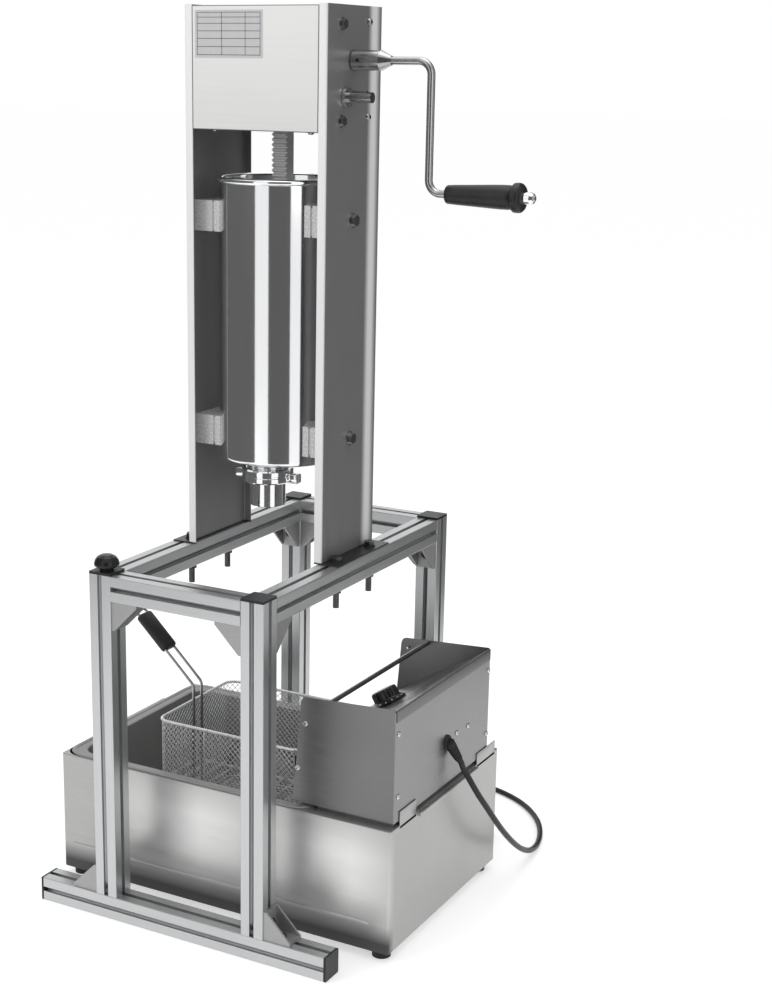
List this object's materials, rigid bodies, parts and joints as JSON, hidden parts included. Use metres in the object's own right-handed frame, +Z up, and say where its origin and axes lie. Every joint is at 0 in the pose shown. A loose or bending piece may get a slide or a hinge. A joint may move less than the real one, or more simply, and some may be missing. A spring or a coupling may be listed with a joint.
{
  "type": "churro maker",
  "caption": "Crank-driven churro press with rack, barrel and star nozzle on a slotted aluminium stand over an electric fryer with basket.",
  "frame": {"origin": "middle of the machine's footprint on the floor, under the middle of the stand front to back", "axes": "+Z up, -Y toward the operator, +X toward the crank"},
  "size_m": [0.7344, 0.8088, 1.432],
  "materials": {
    "aluminium_profile": "satin anodised",
    "cast_grey": "satin cast",
    "dark_steel": "satin blackened",
    "zinc_steel": "satin",
    "tower_sheet": "satin",
    "cover_sheet": "satin",
    "polished_steel": "mirror polished",
    "brushed_stainless": "brushed",
    "bronze": "machined",
    "nylon": "matte",
    "black_plastic": "satin moulded",
    "black_rubber": "matte",
    "heating_tube": "dull oxidised",
    "mesh_wire": "bright plated"
  },
  "bodies": {
    "machine": {"base_rails": "aluminium_profile", "front_legs": "aluminium_profile", "rear_legs": "aluminium_profile", "side_rail_left": "aluminium_profile", "side_rail_right": "aluminium_profile", "cross_rails": "aluminium_profile", "end_caps": "black_plastic", "corner_brackets": "cast_grey", "bracket_screws": "dark_steel", "slot_nuts": "zinc_steel", "side_plate_left": "tower_sheet", "side_plate_right": "tower_sheet", "foot_bolts": "dark_steel", "gearbox_case": "dark_steel", "gearbox_cover": "cover_sheet", "gearbox_bolts": "dark_steel", "bearing_plates": "dark_steel", "shaft_bushes": "bronze", "rack_guides": "nylon", "barrel": "polished_steel", "barrel_brackets": "polished_steel", "bracket_bolts": "zinc_steel", "fryer_body": "brushed_stainless", "fryer_feet": "black_rubber", "oil_tank": "brushed_stainless", "element_guard": "mesh_wire", "heating_elements": "heating_tube", "head_case": "brushed_stainless", "head_back_panel": "brushed_stainless", "control_panel": "brushed_stainless", "head_screws": "zinc_steel", "thermostat": "zinc_steel", "hanger_bar": "polished_steel", "cord_gland": "black_rubber", "power_cord": "black_rubber", "cord_coil": "black_rubber", "cord_plug": "black_plastic"},
    "crank_shaft_body": {"crank_shaft": "zinc_steel", "small_pinion": "zinc_steel"},
    "pinion_shaft_body": {"pinion_shaft": "zinc_steel", "rack_pinion": "zinc_steel", "large_gear": "zinc_steel", "shaft_collar": "zinc_steel"},
    "press_rack": {"rack": "zinc_steel", "piston": "nylon", "piston_seal": "black_rubber", "piston_bolt": "zinc_steel"},
    "crank": {"crank_arm": "zinc_steel", "crank_screw": "dark_steel", "grip_nut": "polished_steel"},
    "grip": {"crank_grip": "black_plastic"},
    "nozzle": {"nozzle_tube": "polished_steel", "churro_die": "zinc_steel"},
    "ring_nut": {"outlet_nut": "polished_steel"},
    "fry_basket": {"basket": "mesh_wire", "basket_handle": "mesh_wire", "basket_grip": "black_plastic"},
    "dial": {"temperature_knob": "black_plastic", "knob_spindle": "zinc_steel"},
    "leg_knob": {"round_knob": "black_plastic"}
  },
  "joints": [
    {"name": "crank_turn", "type": "hinge", "parent": "machine", "child": "crank_shaft_body", "pos_m": [0.03685, -0.00073, 1.352], "axis": [-1, 0, 0], "range_deg": [0, 4440]},
    {"name": "pinion_turn", "type": "hinge", "parent": "machine", "child": "pinion_shaft_body", "pos_m": [0.03685, -0.0245, 1.298], "axis": [1, 0, 0], "range_deg": [0, 1514]},
    {"name": "piston_travel", "type": "slide", "parent": "machine", "child": "press_rack", "axis": [0, 0, 1], "range_m": [0, 0.463]},
    {"name": "crank_pull", "type": "slide", "parent": "crank_shaft_body", "child": "crank", "axis": [1, 0, 0], "range_m": [0, 0.07]},
    {"name": "grip_spin", "type": "hinge", "parent": "crank", "child": "grip", "pos_m": [0.27685, -0.00073, 1.16], "axis": [1, 0, 0], "continuous": true},
    {"name": "nut_turn", "type": "hinge", "parent": "nozzle", "child": "ring_nut", "pos_m": [-0.06315, -0.038, 0.705], "axis": [0, 0, -1], "range_deg": [0, 1440]},
    {"name": "nozzle_drop", "type": "slide", "parent": "machine", "child": "nozzle", "axis": [0, 0, -1], "range_m": [0, 0.0121]},
    {"name": "basket_lift", "type": "slide", "parent": "machine", "child": "fry_basket", "axis": [0, 0, 1], "range_m": [0, 0.2]},
    {"name": "temperature_turn", "type": "hinge", "parent": "machine", "child": "dial", "pos_m": [0.16185, -0.029, 0.35122], "axis": [0.521, 0, -0.8536], "range_deg": [0, 270]},
    {"name": "round_knob_turn", "type": "hinge", "parent": "machine", "child": "leg_knob", "pos_m": [-0.20115, -0.29, 0.584], "axis": [0, 0, 1], "continuous": true}
  ],
  "couplings": [
    {"joint": "pinion_turn", "follows": "crank_turn", "ratio": 0.34091},
    {"joint": "piston_travel", "follows": "crank_turn", "m_per_rad": 0.0059659},
    {"joint": "nozzle_drop", "follows": "nut_turn", "m_per_rad": 0.00047746}
  ]
}
